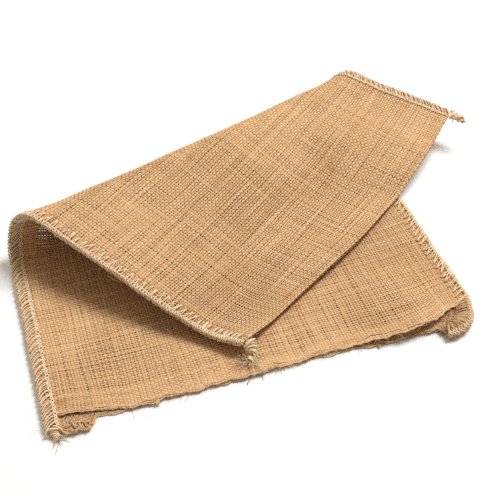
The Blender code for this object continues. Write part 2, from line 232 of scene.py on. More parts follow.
def middle(u, v, panel=None):
    """The middle of the two panels in the folded sack, or of one that stands off there."""
    u, v = np.broadcast_arrays(np.asarray(u, float), np.asarray(v, float))
    along = u * math.cos(FOLD_TURN) + (v - FOLD_START) * math.sin(FOLD_TURN)
    run = -u * math.sin(FOLD_TURN) + (v - FOLD_START) * math.cos(FOLD_TURN)
    share = along / FOLD_LENGTH
    radius = along_table(FOLD, "along", "radius", share)
    dip = np.radians(along_table(FOLD, "along", "dip", share))
    forward, height = fold_profile(run, radius, dip)

    wave = np.clip((v - LENGTH + FREE_REACH) / FREE_REACH, 0, 1.2) ** 2
    height = height + wave * along_table(FREE_EDGE, "across", "lift", u / WIDTH)
    forward = forward + wave * along_table(FREE_EDGE, "across", "drawn", u / WIDTH)

    curled = CURL_WIDTH * (1 - smoothstep(0, CURL_REACH, v))
    side = np.minimum(u, WIDTH - u - curled)
    height = height + HALF + SEAM_LIFT * (1 - smoothstep(BITE, BITE + LIFT_WIDTH, side))
    corner = smoothstep(WIDTH - CORNER_REACH, WIDTH, u) * (1 - smoothstep(0, CORNER_REACH, v))
    height = height + CORNER_LIFT * corner + ripple(u, v, run)
    if panel == "front":
        height = height + gape(u, v)

    x = along + FLAP_DRIFT * np.clip(run - radius * math.pi / 2, 0, None)
    y = forward + BOW * (x / WIDTH - 0.5) * x
    return np.stack([x - ORIGIN_X, y - ORIGIN_Y, height], axis=-1)


def unit(vectors):
    return vectors / np.maximum(np.linalg.norm(vectors, axis=-1, keepdims=True), 1e-12)


def directions(u, v, panel=None):
    """Unit vectors at a point of the sack: across, along, and out of the front panel."""
    step = 0.2 * MM
    across = middle(u + step, v, panel) - middle(u - step, v, panel)
    along = middle(u, v + step, panel) - middle(u, v - step, panel)
    return unit(across), unit(along), unit(np.cross(across, along))


def cloth_frame(panel, u, s):
    """A panel's middle at (u, s) and its directions: across, onward to the bottom, and outward.

    s runs from the panel's own mouth edge to the middle of the bend at the bottom.
    """
    side = 1 if panel == "front" else -1
    turn = np.clip((s - STRAIGHT) / BEND, 0, math.pi / 2)[..., None]
    edge = mouth_edge(u, panel) + ragged(u, panel)
    v = np.minimum(s, STRAIGHT) + edge * (1 - smoothstep(0, EDGE_REACH, s))
    across, along, out = directions(u, v, panel)
    outward = side * out * np.cos(turn) + along * np.sin(turn)
    onward = along * np.cos(turn) - side * out * np.sin(turn)
    return middle(u, v, panel) + BEND * outward, across, onward, outward


# ==== Meshes ====
ALONE = 0.2                       # a noise field's reach where neighbours have nothing in common


def noise_field(rows, columns, row_reach, column_reach, seed):
    """A smooth random field of unit spread, with the given reach in rows and in columns."""
    noise = np.random.default_rng(seed).standard_normal((rows, columns))
    row_waves = np.fft.fftfreq(rows)[:, None] * row_reach
    column_waves = np.fft.rfftfreq(columns)[None, :] * column_reach
    soft = np.exp(-2 * math.pi**2 * (row_waves**2 + column_waves**2))
    field = np.fft.irfft2(np.fft.rfft2(noise) * soft, s=noise.shape)
    return field / field.std()


def noise_line(count, reach, seed):
    """The same along one line."""
    return noise_field(1, count, ALONE, reach, seed)[0]


def new_piece(name, points, faces, maps, material, node, corner_normals=None):
    """A mesh object from arrays: points, faces of equal size, and UV maps given for each point."""
    mesh = bpy.data.meshes.new(name)
    count, size = faces.shape
    points = points.copy()
    points[:, 2] = np.maximum(points[:, 2], FLOOR_CLEAR)
    mesh.vertices.add(len(points))
    mesh.vertices.foreach_set("co", np.ascontiguousarray(points, dtype=np.float32).ravel())
    mesh.loops.add(count * size)
    mesh.loops.foreach_set("vertex_index", faces.astype(np.int32).ravel())
    mesh.polygons.add(count)
    mesh.polygons.foreach_set("loop_start", np.arange(0, count * size, size, dtype=np.int32))
    mesh.update(calc_edges=True)
    for map_name, places in maps.items():
        layer = mesh.uv_layers.new(name=map_name)
        layer.data.foreach_set("uv", places[faces.ravel()].astype(np.float32).ravel())
    mesh.shade_smooth()
    if corner_normals is not None:
        mesh.normals_split_custom_set(corner_normals.reshape(-1, 3))
    mesh.materials.append(material)
    piece = bpy.data.objects.new(name, mesh)
    bpy.context.scene.collection.objects.link(piece)
    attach(piece, "root")
    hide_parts(node)
    return piece


# ==== The woven cloth ====
WARPS = 137                       # yarns along the sack, side by side across it
WEFT_PITCH = 2.05 * MM            # from weft to weft in the lower cloth
WIDE_PITCH = 2.30 * MM            # and in the turned-back end
PITCH_FROM, PITCH_TO = 140 * MM, 300 * MM    # it changes between these places
EDGE_PITCH = 1.45 * MM            # the wefts lie closer along the mouth
EDGE_BAND = 11 * MM
LOOSE_BAND = 30 * MM              # next to the mouth they wave, by LOOSE_WAVE
LOOSE_WAVE = 0.7 * MM
# How far yarns stray from even spacing, as shares of the pitch: together, and each alone.
WARP_DRIFT, WEFT_DRIFT, OWN_DRIFT = 0.24, 0.22, 0.09
# A yarn's width, and how far its crest lies over the cloth's middle and its dip under it.
WeaveYarn = namedtuple("WeaveYarn", "width top dip")
WEAVE = {
    "warp": WeaveYarn(1.72 * MM, 0.46 * MM, 0.34 * MM),
    "weft": WeaveYarn(1.48 * MM, 0.62 * MM, 0.44 * MM),
}
PANEL_WIDTHS = {"front": 1.09, "back": 1.0}    # the front panel's yarns lie flatter and wider
# Unevenness of the width: from yarn to yarn, along a yarn, by region, and slubs.
OWN_WIDTH, UNEVEN_WIDTH, REGION_WIDTH = 0.08, 0.09, 0.10
SLUB_FROM, SLUB_WIDTH = 2.4, 0.35
NARROWEST, WIDEST = 0.70, 1.45
# A worn spot at the fold's open end, where light comes through both panels.
Thin = namedtuple("Thin", "u v reach depth")
THIN = Thin(33 * MM, 191 * MM, 15 * MM, 0.45)
# The front panel's weave is closer towards its left side.
Dense = namedtuple("Dense", "start end more")
DENSE = Dense(100 * MM, 230 * MM, 0.12)
WARP_MARGIN = 0.6 * MM            # the outermost warps keep this far from the sack's sides
WEFT_MARGIN = 0.3 * MM            # and the wefts end this far from them
CREST_UNEVEN = 0.06 * MM
# How far the normals lean at a yarn's edges, and along it between crest and dip: it looks round.
ROUND_ACROSS, ROUND_ALONG, STEEPER = 0.95, 0.70, 1.4


def weft_places():
    """Places of the wefts from the mouth edge to the bend, closer together along the mouth."""
    places, place = [], 0.5 * MM
    while place < PANEL_END - 0.4 * WEFT_PITCH:
        places.append(place)
        pitch = WEFT_PITCH + (WIDE_PITCH - WEFT_PITCH) * smoothstep(PITCH_FROM, PITCH_TO, place)
        inner = smoothstep(0.6 * EDGE_BAND, 1.4 * EDGE_BAND, place)
        place += float(EDGE_PITCH + (pitch - EDGE_PITCH) * inner)
    return np.array(places)


def crossings(panel):
    """Where the yarns cross: u and s, a row for each warp and a column for each weft."""
    seed = 10 if panel == "front" else 40
    wefts = weft_places()
    shape = (WARPS, len(wefts))
    pitch = WIDTH / WARPS
    u = (np.arange(WARPS)[:, None] + 0.5) * pitch
    u = u + pitch * (
        WARP_DRIFT * noise_field(*shape, 5, 9, seed) + OWN_DRIFT * noise_field(*shape, ALONE, 7, seed + 1)
    )
    s = wefts[None, :] + np.gradient(wefts)[None, :] * (
        WEFT_DRIFT * noise_field(*shape, 9, 5, seed + 2) * smoothstep(0, 20 * MM, wefts)[None, :]
        + OWN_DRIFT * noise_field(*shape, 7, ALONE, seed + 3)
    )
    loose = smoothstep(1 * MM, 6 * MM, wefts) * (1 - smoothstep(LOOSE_BAND / 2, LOOSE_BAND, wefts))
    s = s + LOOSE_WAVE * noise_field(*shape, 5, 3, seed + 4) * loose[None, :]
    return np.clip(u, WARP_MARGIN, WIDTH - WARP_MARGIN), np.maximum(s, 0.4 * MM)


def half_widths(panel, kind, u, s, seed):
    """Half widths at places along a panel's yarns, with thick and thin places and slubs."""
    own = 1 + OWN_WIDTH * np.random.default_rng(seed).standard_normal((len(u), 1))
    thickness = 1 + UNEVEN_WIDTH * noise_field(*u.shape, ALONE, 3, seed + 1)
    region = 1 + REGION_WIDTH * noise_field(*u.shape, 11, 11, seed + 3)
    slubs = np.clip(noise_field(*u.shape, ALONE, 4, seed + 2) - SLUB_FROM, 0, 1.0) * SLUB_WIDTH
    width = WEAVE[kind].width * PANEL_WIDTHS[panel]
    half = np.clip(own * thickness * region + slubs, NARROWEST, WIDEST) * width / 2
    half = half * (1 - THIN.depth * np.exp(-((u - THIN.u) ** 2 + (s - THIN.v) ** 2) / THIN.reach**2))
    if panel == "front":
        half = half * (1 + DENSE.more * (1 - smoothstep(DENSE.start, DENSE.end, u)))
    if kind == "weft":
        half = half * np.clip(np.gradient(weft_places()) / WEFT_PITCH, 0.9, 1.2)[:, None]
    return half


def with_ends(rows, start, stop):
    """Rows of values with one more at each end."""
    ends = (len(rows), 1)
    return np.concatenate([np.broadcast_to(start, ends), rows, np.broadcast_to(stop, ends)], axis=1)


def ribbon_faces(count, slope, along_first):
    """Faces of arched ribbons, and how far each face's corners lean sideways and ahead.

    A ribbon has count + 2 points on its crest, then count + 1 on each edge. Its slope is 1 where
    it goes down ahead and -1 where it goes up.
    """
    yarns = len(slope)
    crest, stations = np.arange(count + 2), np.arange(count + 1)
    level, dives = np.zeros((yarns, count)), slope * STEEPER
    caps_ahead = np.stack([slope[:, :-1], level, slope[:, 1:]], axis=-1)
    ramps_ahead = np.stack([slope, np.where(slope < 0, dives, 0), np.where(slope > 0, dives, 0)], axis=-1)
    parts = []
    for edge, sideways in ((count + 2 + stations, -1.0), (2 * count + 3 + stations, 1.0)):
        caps = np.stack([edge[:-1], crest[1:-1], edge[1:]], axis=1)
        ramps = np.stack([edge, crest[:-1], crest[1:]], axis=1)
        order = [0, 1, 2] if (sideways < 0) == along_first else [2, 1, 0]
        for triangles, lean, ahead in ((caps, (1, 0, 1), caps_ahead), (ramps, (1, 0, 0), ramps_ahead)):
            shape = (yarns, *triangles.shape)
            lean = sideways * np.array(lean)[order]
            parts.append((
                np.broadcast_to(triangles[:, order], shape), np.broadcast_to(lean, shape), ahead[..., order]
            ))
    return (np.concatenate(column, axis=1) for column in zip(*parts))


def weave_yarns(panel, kind, material):
    """One set of a panel's yarns as arched ribbons, each crossing drawn by its crest or its dip."""
    u, s = crossings(panel)
    side = 1 if panel == "front" else -1
    over = (np.add.outer(np.arange(u.shape[0]), np.arange(u.shape[1])) + (side > 0)) % 2 == 0
    seed = 100 + (side > 0) * 7 + (kind == "warp") * 13
    if kind == "warp":
        lane, run, first, last = u, s, 0.0, PANEL_END
    else:
        lane, run, first, last = s.T, u.T, WEFT_MARGIN, WIDTH - WEFT_MARGIN
        over = ~over.T
    yarns, count = lane.shape

    lane_crest = with_ends(lane, lane[:, :1], lane[:, -1:])
    run_crest = with_ends(run, first, last)
    crest_height = with_ends(np.where(over, WEAVE[kind].top, -WEAVE[kind].dip), 0.1 * MM, 0.1 * MM)
    crest_height = crest_height + CREST_UNEVEN * noise_field(yarns, count + 2, ALONE, 0.5, seed + 5)
    lane_edge = with_ends((lane[:, 1:] + lane[:, :-1]) / 2, lane[:, :1], lane[:, -1:])
    run_edge = with_ends((run[:, 1:] + run[:, :-1]) / 2, first, last)
    edge = (lane_edge, run_edge) if kind == "warp" else (run_edge, lane_edge)
    half = half_widths(panel, kind, *edge, seed)

    lane_all = np.concatenate([lane_crest, lane_edge - half, lane_edge + half], axis=1)
    run_all = np.concatenate([run_crest, run_edge, run_edge], axis=1)
    height_all = np.concatenate([crest_height, np.zeros((yarns, 2 * count + 2))], axis=1)
    u_all, s_all = (lane_all, run_all) if kind == "warp" else (run_all, lane_all)
    u_all, s_all = np.clip(u_all, 0, WIDTH), np.clip(s_all, 0, PANEL_END)
    base, across, onward, outward = cloth_frame(panel, u_all, s_all)
    points = base + outward * height_all[..., None]
    ahead, beside = (onward, across) if kind == "warp" else (across, onward)

    slope = np.where(with_ends(over * 1, 1 - over[:, :1], 1 - over[:, -1:])[:, :-1] > 0, 1.0, -1.0)
    faces, lean_side, lean_ahead = ribbon_faces(count, slope, (kind == "warp") == (side > 0))
    faces = (faces + (np.arange(yarns) * points.shape[1])[:, None, None]).reshape(-1, 3)
    normals = unit(
        outward.reshape(-1, 3)[faces]
        + ROUND_ACROSS * lean_side.reshape(-1, 3)[..., None] * beside.reshape(-1, 3)[faces]
        + ROUND_ALONG * lean_ahead.reshape(-1, 3)[..., None] * ahead.reshape(-1, 3)[faces]
    )

    # Maps: the yarn's own (its number and place across it, places along it), and the sack's.
    stations = np.arange(count + 1) - 0.5
    across_yarn = np.repeat([0.0, -1.0, 1.0], [count + 2, count + 1, count + 1])
    along_yarn = np.concatenate([[-0.5], np.arange(count), [count - 0.5], stations, stations])
    lanes = np.arange(yarns)[:, None] + 0.5 + 0.42 * across_yarn
    parity = np.where(over[:, :1], 0, 1)
    maps = {
        "yarn": np.stack([lanes, along_yarn + parity + 2], axis=-1),
        "sack": np.stack([u_all, s_all + (0 if side > 0 else 1.0)], axis=-1),
        "OFBake": np.stack([u_all / WIDTH, s_all / PANEL_END], axis=-1),
    }
    maps = {name: places.reshape(-1, 2) for name, places in maps.items()}
    return new_piece(f"{panel}_{kind}", points.reshape(-1, 3), faces, maps, material, "sack_cloth", normals)


# ==== Yarn tubes ====
SIDES = 6                         # of a strand's section; its end caps need 4 or 6
CELL_EDGE = 0.06                  # clear rim of a tube's cell in its bake map
MAP_STEP = 17                     # mm by which a strand's map is shifted from the last one's


def smooth_path(knots, steps=2):
    """Points on a smooth curve through knots, shape (strands, knots, 3), with steps to each span."""
    first = 2 * knots[:, :1] - knots[:, 1:2]
    last = 2 * knots[:, -1:] - knots[:, -2:-1]
    ends = np.concatenate([first, knots, last], axis=1)
    share = (np.arange(steps) / steps)[None, None, :, None]
    p0, p1, p2, p3 = (ends[:, i:i + knots.shape[1] - 1, None, :] for i in range(4))
    spans = 0.5 * (
        2 * p1 + (p2 - p0) * share + (2 * p0 - 5 * p1 + 4 * p2 - p3) * share**2
        + (3 * p1 - p0 - 3 * p2 + p3) * share**3
    )
    return np.concatenate([spans.reshape(len(knots), -1, 3), knots[:, -1:]], axis=1)


def tubes(paths, radius, sides=SIDES):
    """Points, faces and maps for many tubes of as many points each: paths is (strands, points, 3).

    One map gives the way round and the length in mm; the other the way round, the share of the
    length and the number of the strand. Hairs of three sides have open ends.
    """
    strands, count = paths.shape[:2]
    ahead = unit(np.gradient(paths, axis=1))
    start = np.where(np.abs(ahead[:, :1, 2:]) < 0.8, [[[0.0, 0.0, 1.0]]], [[[1.0, 0.0, 0.0]]])
    normal = [unit(np.cross(ahead[:, 0], start[:, 0]))]
    for i in range(1, count):
        carried = normal[-1] - ahead[:, i] * np.sum(normal[-1] * ahead[:, i], axis=-1, keepdims=True)
        normal.append(unit(carried))
    normal = np.stack(normal, axis=1)
    other = np.cross(ahead, normal)
    angle = 2 * math.pi * np.arange(sides) / sides
    radius = np.broadcast_to(radius, (strands, count))
    ring = np.cos(angle)[:, None] * normal[:, :, None] + np.sin(angle)[:, None] * other[:, :, None]
    points = paths[:, :, None] + ring * radius[:, :, None, None]

    number = np.arange(strands * count * sides).reshape(strands, count, sides)
    near, far = number[:, :-1], number[:, 1:]
    quads = np.stack([near, np.roll(near, -1, axis=2), np.roll(far, -1, axis=2), far], axis=-1)
    faces = [quads.reshape(-1, 4)]
    if sides > 3:
        for row, turn in ((number[:, 0], -1), (number[:, -1], 1)):
            for i in range(1, sides - 1, 2):
                corners = (0, i, i + 1, min(i + 2, sides - 1))
                faces.append(np.stack([row[:, corner] for corner in corners][::turn], axis=-1))

    steps = np.cumsum(np.linalg.norm(np.diff(paths, axis=1), axis=-1), axis=1)
    length = np.concatenate([np.zeros((strands, 1)), steps], axis=1)
    # The map folds back half way round, so that it has no seam.
    around = (1 - np.abs(2 * np.arange(sides) / sides - 1))[None, None]
    strand = np.arange(strands)[:, None, None]
    places = np.broadcast_arrays(around, (length[:, :, None] + strand * MAP_STEP * MM) / MM)
    lanes = np.broadcast_arrays(around, (length / length[:, -1:])[:, :, None], strand)
    places, lanes = np.stack(places, axis=-1).reshape(-1, 2), np.stack(lanes, axis=-1).reshape(-1, 3)
    return points.reshape(-1, 3), np.concatenate(faces), places, lanes


def tube_piece(name, parts, material, node):
    """A piece from several sets of tubes, with a cell of its bake map for each tube."""
    points, faces, places, lanes, start, strands = [], [], [], [], 0, 0
    for part_points, part_faces, part_places, part_lanes in parts:
        points.append(part_points)
        faces.append(part_faces + start)
        places.append(part_places)
        lanes.append(part_lanes + [0, 0, strands])
        start += len(part_points)
        strands += int(part_lanes[:, 2].max()) + 1
    lanes = np.concatenate(lanes)
    cells = math.ceil(math.sqrt(strands))
    within = CELL_EDGE + (1 - 2 * CELL_EDGE) * lanes[:, :2]
    cell = np.stack([lanes[:, 2] % cells, lanes[:, 2] // cells], axis=-1)
    maps = {"strand": np.concatenate(places), "OFBake": (cell + within) / cells}
    return new_piece(name, np.concatenate(points), np.concatenate(faces), maps, material, node)


# ==== The overcast seams ====
STITCH = 5.9 * MM
YARN = 0.55 * MM                  # radius of the sewing yarn
FINE_YARN = 0.42 * MM             # radius of its thinner strands
FIBRE = 0.13 * MM                 # radius of a few fibres that part from it
FACES = {"left": 1, "right": -1}  # a seam's bars lie on the front panel (1) or the back one (-1)

# One stitch's strands, by knots: place along (shares of a stitch), in from the side and off the
# middle of the panels, towards the face with the bars (mm).
Knot = namedtuple("Knot", "along inset height")
BAR = (
    Knot(1.40, 9.1, 1.6), Knot(1.34, 8.0, 2.0), Knot(1.12, 5.4, 2.6), Knot(0.72, 2.6, 2.6),
    Knot(0.26, 0.3, 2.3), Knot(0.06, -0.9, 1.2), Knot(0.00, -1.0, -0.4), Knot(0.00, 0.2, -2.0),
    Knot(0.04, 1.6, -2.2),
)
SECOND_BAR = (
    Knot(1.78, 8.9, 1.6), Knot(1.72, 7.8, 2.0), Knot(1.50, 5.2, 2.5), Knot(1.14, 2.4, 2.5),
    Knot(0.72, 0.2, 2.2), Knot(0.52, -0.9, 1.2), Knot(0.46, -1.0, -0.4), Knot(0.44, 0.2, -2.0),
    Knot(0.42, 1.6, -2.2),
)
# The other face has a pair of thin legs to each stitch, from the edge to where the yarn goes in.
LEG_INSETS = np.array([0.2, 1.6, 3.6, 5.6, 7.6, 9.0])
LEG_HEIGHTS = np.array([-2.3, -2.7, -2.9, -2.8, -2.5, -1.6])
# How far on along the seam the pair's outer end lies, how much that differs, and how far each leg
# lies off the pair's middle there, in stitches.
LEG_LEAN = {"left": -0.15, "right": 1.10}
LEG_UNEVEN = {"left": 0.18, "right": 0.30}
LEG_SPREAD = 0.26
BED_STRANDS = 3.5                 # thin strands under each stitch's bars
# Strands that run on along the seam: middle and swing of inset and height (mm), swings of the
# height for each stitch, and phase.
Run = namedtuple("Run", "inset inset_swing height height_swing beats phase")
RUNS = (
    Run(8.6, 1.35, 1.75, 0.20, 1, 0.0), Run(8.3, -1.05, 1.90, 0.25, 1, 0.4),
    Run(0.5, 1.50, -2.30, 0.70, 2, 0.0), Run(0.5, 1.50, -2.30, 0.70, 2, 3.1),
    Run(-0.6, 0.60, -0.6, 1.3, 2, 0.5),
)
RUN_STEPS = 8                     # points to a stitch along such a strand
RUN_PIECE = 8                     # stitches to a length of it
# The long stitches round the curl: from one to the next, and their knots from inside out (mm).
FAN_STEP = 1.05 * MM
FAN_INSETS = np.array([11.0, 9.2, 6.5, 3.5, 0.6, -0.8, -0.9, 0.8, 4.0, 7.0])
FAN_HEIGHTS = np.array([0.2, 1.7, 2.1, 2.3, 2.1, 1.0, -1.0, -2.1, -2.1, -1.9])
TAIL_STRANDS = 11
TAIL_TURN = 9 * MM                # length of chain to each turn of a strand
TUFT_HAIRS = 70
TIP_HAIRS = 40
HAIR_SHARES = np.linspace(0, 1, 4)[None, :, None]    # places of the knots along a hair


def seam_end(side, end):
    """Where a seam's straight run ends along the sack."""
    if end == "bottom":
        return LENGTH
    return CURL[0].along if side == "right" else float(mouth_edge(0.0, "back"))


def seam_place(side, along, inset, height):
    """A point by its place along a seam, in from its outer line, and off the middle of the panels."""
    if side == "left":
        u, v = inset, along
    else:
        run = np.clip(CURL[0].along - along, 0, CURL[-1].run)
        turned_in, curled, turn, bite, bulge = (
            np.interp(run, [row.run for row in CURL], [getattr(row, column) for row in CURL])
            for column in CurlRow._fields[1:]
        )
        reach = np.where(inset > 0, inset * bite / BITE, inset)
        u = WIDTH - turned_in - reach * np.cos(np.radians(turn))
        v = np.where(run > 0, curled, along) + reach * np.sin(np.radians(turn))
        arch = np.sin(math.pi * np.clip(inset / BITE, 0, 1)) ** 0.5
        height = height + bulge * np.clip(height / HALF, 0, 1) * arch
    v = np.minimum(v, LENGTH + 1.5 * MM)
    return middle(u, v) + directions(u, v)[2] * height[..., None]


def uneven(rng, share, count):
    """A factor near 1 for each of a number of strands."""
    return 1 + share * rng.standard_normal((count, 1))


def stitch_strands(side, knots, firsts, pitch, radius, rng):
    """One tube for each stitch, through the same knots, each a little different."""
    count, shape = len(firsts), (len(firsts), len(knots))
    along = np.array([knot.along for knot in knots]) + 0.10 * rng.standard_normal((count, 1))
    along = along + 0.035 * rng.standard_normal(shape)
    along = along + np.linspace(-0.5, 0.5, len(knots)) * 0.16 * rng.standard_normal((count, 1))
    inset = np.array([knot.inset for knot in knots]) + 0.25 * rng.standard_normal(shape)
    height = np.array([knot.height for knot in knots]) + 0.12 * rng.standard_normal(shape)
    height = np.clip(height, -2.65, 2.75) * FACES[side]
    path = seam_place(side, firsts[:, None] + along * pitch, np.maximum(inset, -1.15) * MM, height * MM)
    return tubes(smooth_path(path), radius * uneven(rng, 0.12, count))


def leg_strands(side, firsts, pitch, rng):
    """The pair of legs of each stitch."""
    parts, count = [], len(firsts)
    outward = 1 - LEG_INSETS / LEG_INSETS[-1]
    lean = LEG_LEAN[side] + LEG_UNEVEN[side] * rng.standard_normal((count, 1))
    place = 0.08 * rng.standard_normal((count, 1))
    for leg in (-1, 1):
        along = place + (lean + leg * LEG_SPREAD * rng.uniform(0.3, 1.7, (count, 1))) * outward
        along = along + 0.02 * leg + 0.02 * rng.standard_normal((count, len(LEG_INSETS)))
        inset = LEG_INSETS * (1 + 0.09 * np.clip(rng.standard_normal((count, 1)), -1.5, 1.5))
        height = (LEG_HEIGHTS + 0.10 * rng.standard_normal(along.shape)) * FACES[side]
        path = seam_place(side, firsts[:, None] + along * pitch, inset * MM, height * MM)
        parts.append(tubes(smooth_path(path), 0.9 * YARN * uneven(rng, 0.15, count)))
    return parts


def bed_strands(side, start, length, rng):
    """Thin strands that lie askew under the bars."""
    count = round(length / STITCH * BED_STRANDS)
    inset = np.linspace(-0.4, 8.6, 5) + 0.4 * rng.standard_normal((count, 5))
    lean = rng.uniform(0.4, 1.6, (count, 1))
    along = start + length * rng.random((count, 1)) + lean * STITCH * np.linspace(0, 1, 5)
    height = FACES[side] * (1.75 + 0.15 * rng.standard_normal((count, 5)))
    path = seam_place(side, along, inset * MM, height * MM)
    return [tubes(smooth_path(path), FINE_YARN * rng.uniform(0.35, 0.8, (count, 1)), 4)]


def fan_strands(rng):
    """Long stitches spread round the curl at the right corner of the mouth."""
    count, knots = round(CURL[-1].run / FAN_STEP), len(FAN_INSETS)
    run = CURL[-1].run * (np.arange(count) + 0.5) / count + 0.5 * MM * rng.standard_normal(count)
    inset = FAN_INSETS + 0.5 * rng.standard_normal((count, knots))
    inset = inset * rng.uniform(0.75, 1.0, (count, 1))
    height = FAN_HEIGHTS + 0.35 * rng.standard_normal((count, knots))
    lean = 1.4 * MM * rng.standard_normal((count, 1)) * np.linspace(1, -1, knots)
    path = seam_place("right", CURL[0].along - run[:, None] + lean, inset * MM, height * MM)
    return [tubes(smooth_path(path), YARN * rng.uniform(0.45, 1.15, (count, 1)))]


def run_strands(side, start, stitches, pitch):
    """The strands that run on along a seam, in lengths that meet end to end."""
    steps = RUN_STEPS * stitches
    place = np.arange(steps + 1) / RUN_STEPS
    parts = []
    for run in RUNS:
        turn = 2 * math.pi * place + run.phase + 0.5 * noise_line(steps + 1, 12, 3)
        swing = 1 + 0.25 * noise_line(steps + 1, 6, 4)
        inset = run.inset + run.inset_swing * np.cos(turn) * swing
        height = run.height + run.height_swing * np.sin(run.beats * turn)
        path = seam_place(side, start + place * pitch, inset * MM, height * FACES[side] * MM)
        for first in range(0, steps, RUN_PIECE * RUN_STEPS):
            parts.append(tubes(path[None, first:first + RUN_PIECE * RUN_STEPS + 1], YARN))
    return parts


def tail_path(side, end):
    """The middle of the chain past one end of a seam."""
    v = seam_end(side, end)
    u = BITE / 2 if side == "left" else WIDTH - BITE / 2
    across, along, _ = directions(np.array(u), np.array(v))
    onward = -along if end == "mouth" else along
    inward = across if side == "left" else -across
    rows = TAILS[side, end].rows
    centres = np.array([row.along * onward + row.inward * inward + np.array([0, 0, row.up]) for row in rows])
    return smooth_path((middle(np.array(u), np.array(v)) + centres)[None], 10)[0]


def tail_strands(side, end, rng):
    """A chain of strands that loop round each other past the end of a seam, with loose ends."""
    path, tail = tail_path(side, end), TAILS[side, end]
    share = np.linspace(0, 1, len(path))
    length = np.linalg.norm(np.diff(path, axis=0), axis=1).sum()
    ahead = unit(np.gradient(path, axis=0))
    sideways = unit(np.cross(ahead, [0.0, 0.0, 1.0]))
    upward = np.cross(sideways, ahead)
    parts = []
    for i in range(TAIL_STRANDS):
        turn = 2 * math.pi * (i / TAIL_STRANDS + share * length / TAIL_TURN * rng.uniform(0.7, 1.3))
        spread = tail.width * rng.uniform(0.4, 1.0) * (1 - 0.5 * share**2)
        spread = spread * (1 + 0.25 * noise_line(len(path), 8, 60 + i))
        beside, above = (spread * np.cos(turn))[:, None], (spread * np.sin(turn))[:, None]
        strand = path + beside * sideways + 0.8 * above * upward
        strand = strand + 0.3 * MM * rng.standard_normal((1, 3))
        parts.append(tubes(strand[None], YARN * rng.uniform(0.9, 1.5)))
    one = (TUFT_HAIRS, 1, 1)
    fan = rng.normal(0, 0.7, one) * sideways[-1] + rng.normal(0, 0.3, one) * upward[-1]
    reach = rng.uniform(0.3, 1.0, one) * tail.tuft
    curl = rng.normal(0, 0.5, (TUFT_HAIRS, 1, 3)) * HAIR_SHARES**2
    root = path[-1] + rng.normal(0, 0.9 * MM, (TUFT_HAIRS, 1, 3)) - ahead[-1] * rng.uniform(0, 5 * MM, one)
    hairs = root + reach * HAIR_SHARES * (ahead[-1] + fan + curl)
    parts.append(tubes(smooth_path(hairs), FIBRE * rng.uniform(0.8, 2.4, (TUFT_HAIRS, 1)), 3))
    return parts


def tip_fibres(rng):
    """Loose ends at the tip of the right corner's curl."""
    count = TIP_HAIRS
    inset = rng.uniform(0, 9, (count, 1)) * MM
    run = CURL[-1].run - rng.uniform(0, 5, (count, 1)) * MM
    height = rng.uniform(-1.5, 2.0, (count, 1)) * MM
    root = seam_place("right", CURL[0].along - run, inset, height)
    level, tip = 0 * height, CURL[0].along - CURL[-1].run + 0 * run
    out = unit(seam_place("right", tip, inset, level) - seam_place("right", tip + 6 * MM, inset, level))
    bend = rng.normal(0, 0.5, (count, 1, 3)) * HAIR_SHARES**2
    reach = rng.uniform(2, 6, (count, 1, 1)) * MM
    hairs = root + reach * HAIR_SHARES * (out + rng.normal(0, 0.35, (count, 1, 3)) + bend)
    return [tubes(smooth_path(hairs), FIBRE * 1.4, 3)]


def make_seam(side, material):
    """One seam: its stitches, the strands that run along it, and what goes on past its ends."""
    rng = np.random.default_rng(5 if side == "left" else 6)
    straight = seam_end(side, "mouth")
    start = straight - (CURL[-1].run if side == "right" else 0)
    stitches = round((LENGTH - start) / STITCH)
    pitch = (LENGTH - start) / stitches
    parts = run_strands(side, start, stitches, pitch)
    firsts = straight + pitch * np.arange(-0.5, round((LENGTH - straight) / pitch) - 0.6)
    for knots, radius in ((BAR, YARN), (SECOND_BAR, FINE_YARN)):
        parts.append(stitch_strands(side, knots, firsts, pitch, radius, rng))
    parts += leg_strands(side, firsts, pitch, rng)
    parts += bed_strands(side, start, LENGTH - start - STITCH, rng)
    for tail_side, end in TAILS:
        if tail_side == side:
            parts += tail_strands(side, end, rng)
    tube_piece(f"yarn_{side}", parts, material, f"seam_{side}")


# ==== Loose fibres ====
HAIR = 0.075 * MM                 # radius of a fibre
HAIR_CURL = 0.9
CLOTH_FUZZ = {"front": 1700, "back": 1500}
SEAM_FUZZ = {"left": 900, "right": 900}
FUZZ_AT_MOUTH = 0.14              # share of a panel's fibres that stand along its mouth


def hair_tubes(roots, tangents, outward, lengths, rng):
    """Curved fibres from roots: they start along a tangent, rise a little and bend at random."""
    share, each = HAIR_SHARES, (len(roots), 1)
    bend = np.cross(tangents, outward) * rng.normal(0, HAIR_CURL, each)
    rise = outward * rng.uniform(0.0, 0.7, each) ** 1.5
    fall = outward * rng.uniform(0.0, 0.5, each)
    path = roots[:, None] + lengths[:, None, None] * (
        share * (tangents + rise)[:, None] + share**2 * bend[:, None] - share**3 * fall[:, None]
    )
    return tubes(smooth_path(path), HAIR * rng.uniform(0.6, 1.3, each), 3)


